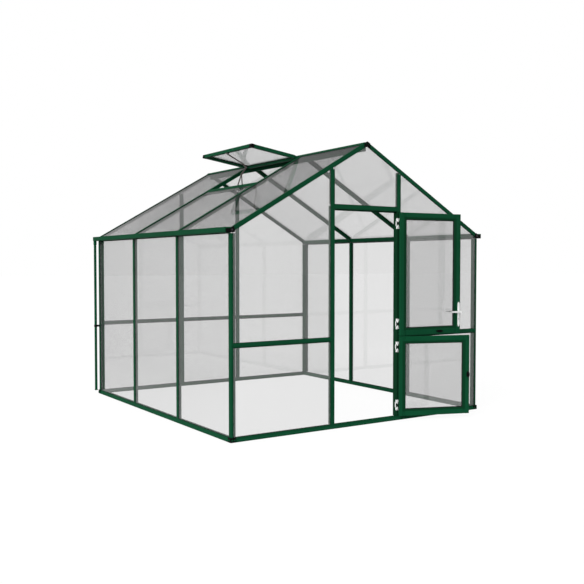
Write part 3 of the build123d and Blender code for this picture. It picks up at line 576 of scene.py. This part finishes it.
def handle_trim():
    """Screws, keyholes and their rims on the handle plates."""
    turn, origin = leaf_turn(UPPER_OPEN)
    steel = Shape(turn, origin)
    dark = Shape(turn, origin)
    for q, out in ((0.032, Y), (-0.004, -Y)):
        for z in (0.918, 1.125):
            steel.screw((PLATE_S, q, z), out, 0.0036)
        steel.lathe((PLATE_S, q, 0.975), out,
                    [(0.0095, 0), (0.0095, 0.0016), (0.0075, 0.0028), (0.0070, 0.0012),
                     (0.0005, 0.0012)], sides=20)
        dark.lathe((PLATE_S, q, 0.978), out,
                   [(0.0036, 0.0013), (0.0034, 0.0018), (0.0005, 0.0018)], sides=14)
        dark.slab(Vector((0.7125, q, 0.968)) + Vector(out) * 0.0013, (0.003, 0, 0), (0, 0, 0.009),
                  Vector(out) * 0.0005, 0.0002)
    steel.finish("handle_trim", "upper_leaf", "bright_steel", zinc)
    dark.finish("keyholes", "upper_leaf", "black_plastic", black)


def vent_trim():
    """Black corner caps, pane seals and screws of the roof vent."""
    u = Vector((-math.cos(VENT_TILT), 0, math.sin(VENT_TILT)))
    down = Vector((-math.sin(VENT_TILT), 0, -math.cos(VENT_TILT)))
    turn = Matrix((u.to_4d(), Y.to_4d(), down.to_4d(), (0, 0, 0, 1))).transposed()
    origin = Vector((-0.046, BAYS[0] + 0.007, APEX_Z - 0.024))
    span = BAYS[1] - BAYS[0]
    caps = Shape(turn, origin)
    side = [(0.556, -0.001), (0.5855, -0.001), (0.5946, 0.0001), (0.5955, 0.001),
            (0.5955, 0.0345), (0.5945, 0.0355), (0.556, 0.0355)]
    for v0, v1 in ((-0.0015, 0.040), (span - 0.040, span + 0.0015)):
        caps.prism([(a, v0, b) for a, b in side], (0, v1 - v0, 0))
    caps.finish("vent_corner_caps", "greenhouse", "black_plastic", black)
    seals = Shape(turn, origin)
    box = [(0.030, 0.038), (0.564, 0.038), (0.564, span - 0.038), (0.030, span - 0.038)]
    for depth, out in ((0.008, -Z), (0.012, Z)):
        seals.loop([(a, b, depth) for a, b in box], out, 0.0045, 0.004)
    seals.finish("vent_seals", "greenhouse", "black_plastic", rubber)
    bolts = Shape(turn, origin)
    for v in (0.52, 0.566):
        bolts.screw((0.576, v - 0.0025, 0.042), Z, 0.004)
    bolts.finish("vent_screws", "greenhouse", "bright_steel", zinc)


def eave_trim():
    """Inset plugs on the eave connectors, gutter sleeves, spigots and pipe collars."""
    plugs = Shape()
    green_bits = Shape()
    for s in (-1, 1):
        for y, out in ((-0.008, -Y), (DEPTH + 0.008, Y)):
            plugs.lathe((s * (HALF - 0.010), y, 1.823), out,
                        [(0.0095, 0), (0.0095, 0.0010), (0.0080, 0.0020), (0.0005, 0.0020)],
                        sides=20)
        x = s * (HALF + 0.037)
        green_bits.lathe((x, DEPTH + 0.005, 1.755), Z, [(0.0155, 0), (0.0185, 0.002),
                                                        (0.0185, 0.026), (0.0175, 0.0435),
                                                        (0.0155, 0.0435)], sides=24)
        green_bits.lathe((x, DEPTH + 0.005, 0.038), Z, [(0.0155, 0), (0.0172, 0.001),
                                                        (0.0172, 0.012), (0.0155, 0.013)],
                         sides=24)
        for y in BAYS:
            green_bits.slab((s * (HALF + 0.055), y - 0.03, 1.805), (0, 0.06, 0), (0, 0, 0.036),
                            (s * 0.0009, 0, 0), 0.0003)
    plugs.finish("connector_plugs", "greenhouse", "black_plastic", plug_grey)
    green_bits.finish("gutter_and_pipe_trim", "greenhouse", "green_coat", green)


wall_seals()
roof_seals()
frame_fixings()
hinge_trim()
leaf_trim("upper_leaf", "upper_leaf", UPPER_OPEN, 0.831, 2.032, (0.068, 0.079), (0.072, 0.065),
          HINGES[:2])
leaf_trim("lower_leaf", "lower_leaf", LOWER_OPEN, 0.044, 0.825, (0.061, 0.069), (0.065, 0.067),
          HINGES[2:])
handle_trim()
vent_trim()
eave_trim()


# Floor and backdrop
def floor_glow(t):
    """Strength of the floor's white: full to look at, less in mirrors, none as light."""
    path = t.node("ShaderNodeLightPath")
    seen = t.math("MAXIMUM", path.outputs["Is Camera Ray"], path.outputs["Is Transmission Ray"])
    where = t.node("ShaderNodeTexCoord")
    split = t.node("ShaderNodeSeparateXYZ")
    t.link(where.outputs["Object"], split.inputs[0])
    side = t.node("ShaderNodeMapRange")
    side.inputs["From Min"].default_value = FLOOR_SPAN[0]
    side.inputs["From Max"].default_value = FLOOR_SPAN[1]
    side.inputs["To Min"].default_value = FLOOR_MIRRORED[0]
    side.inputs["To Max"].default_value = FLOOR_MIRRORED[1]
    t.link(split.outputs["X"], side.inputs["Value"])
    mirrored = t.math("MULTIPLY", path.outputs["Is Glossy Ray"], side.outputs["Result"])
    return t.math("ADD", t.math("MULTIPLY", seen, FLOOR_WHITE), mirrored)


def floor_finish():
    """Pale matt floor that keeps the object's shadow."""
    t = Tree("pale_floor")
    matt = t.node("ShaderNodeBsdfDiffuse")
    t.link(t.ramp(t.noise(0.8, 3.0), [(0.3, 0.10), (0.7, 0.105)]), matt.inputs["Color"])
    glow = t.node("ShaderNodeEmission")
    t.link(floor_glow(t), glow.inputs["Strength"])
    both = t.node("ShaderNodeAddShader")
    t.link(matt.outputs[0], both.inputs[0])
    t.link(glow.outputs[0], both.inputs[1])
    t.link(both.outputs[0], t.out.inputs["Surface"])
    return t.mat


def add_floor():
    size = 90.0
    mesh = bpy.data.meshes.new("floor")
    mesh.from_pydata([(-size, -size, -0.001), (size, -size, -0.001), (size, size, -0.001),
                      (-size, size, -0.001)], [], [(0, 1, 2, 3)])
    floor = bpy.data.objects.new("floor", mesh)
    bpy.context.scene.collection.objects.link(floor)
    mesh.materials.append(floor_finish())


def add_world():
    """White to look at and look through, with a dimmer studio ceiling for mirrors and gloss."""
    world = bpy.data.worlds.new("studio")
    world.use_nodes = True
    nodes = world.node_tree.nodes
    links = world.node_tree.links
    nodes.clear()
    out = nodes.new("ShaderNodeOutputWorld")
    path = nodes.new("ShaderNodeLightPath")
    seen = nodes.new("ShaderNodeMath")
    seen.operation = "MAXIMUM"
    links.new(path.outputs["Is Camera Ray"], seen.inputs[0])
    links.new(path.outputs["Is Transmission Ray"], seen.inputs[1])
    where = nodes.new("ShaderNodeTexCoord")
    split = nodes.new("ShaderNodeSeparateXYZ")
    links.new(where.outputs["Generated"], split.inputs[0])
    dome = nodes.new("ShaderNodeValToRGB")
    dome.color_ramp.elements.new(0.3)
    for element, (height, level) in zip(dome.color_ramp.elements, CEILING):
        element.position = math.sin(math.radians(height))
        element.color = (level, level, level, 1.0)
    links.new(split.outputs["Z"], dome.inputs["Fac"])
    side = nodes.new("ShaderNodeMapRange")
    side.inputs["From Min"].default_value = CEILING_LEFT
    side.inputs["From Max"].default_value = 0.0
    side.inputs["To Min"].default_value = CEILING_SHARE[0]
    side.inputs["To Max"].default_value = CEILING_SHARE[1]
    links.new(split.outputs["X"], side.inputs["Value"])

    def background(strength):
        made = nodes.new("ShaderNodeBackground")
        made.inputs["Strength"].default_value = strength
        made.inputs["Color"].default_value = (1.0, 1.0, 1.0, 1.0)
        return made

    def choose(fac, first, second):
        made = nodes.new("ShaderNodeMixShader")
        links.new(fac, made.inputs[0])
        links.new(first.outputs[0], made.inputs[1])
        links.new(second.outputs[0], made.inputs[2])
        return made

    mirrored = background(1.0)
    links.new(dome.outputs["Color"], mirrored.inputs["Color"])
    links.new(side.outputs["Result"], mirrored.inputs["Strength"])
    lit = choose(path.outputs["Is Glossy Ray"], background(LIGHT_LEVEL), mirrored)
    links.new(choose(seen.outputs[0], lit, background(1.0)).outputs[0], out.inputs["Surface"])
    bpy.context.scene.world = world


def add_lamp(name, direction, strength, angle):
    """Broad soft lamp that shines along direction."""
    lamp = bpy.data.lights.new(name, "SUN")
    lamp.energy = strength
    lamp.angle = math.radians(angle)
    obj = bpy.data.objects.new(name, lamp)
    obj.rotation_euler = Vector(direction).to_track_quat("-Z", "Y").to_euler()
    obj.visible_glossy = False
    bpy.context.scene.collection.objects.link(obj)


def add_camera():
    """The photograph's viewpoint: a 50 mm lens at eye height, off the front left corner."""
    camera = bpy.data.cameras.new("camera")
    camera.sensor_width = 36.0
    camera.lens = 49.88
    obj = bpy.data.objects.new("camera", camera)
    obj.location = (-4.8266, -6.0298, 1.5363)
    obj.rotation_euler = (math.radians(87.977), 0.0, math.radians(-33.395))
    bpy.context.scene.collection.objects.link(obj)
    bpy.context.scene.camera = obj


add_floor()
add_world()
add_lamp("key", (0.80, 0.45, -0.45), 3.4, 50.0)
add_camera()
bpy.context.scene.view_settings.view_transform = "Standard"
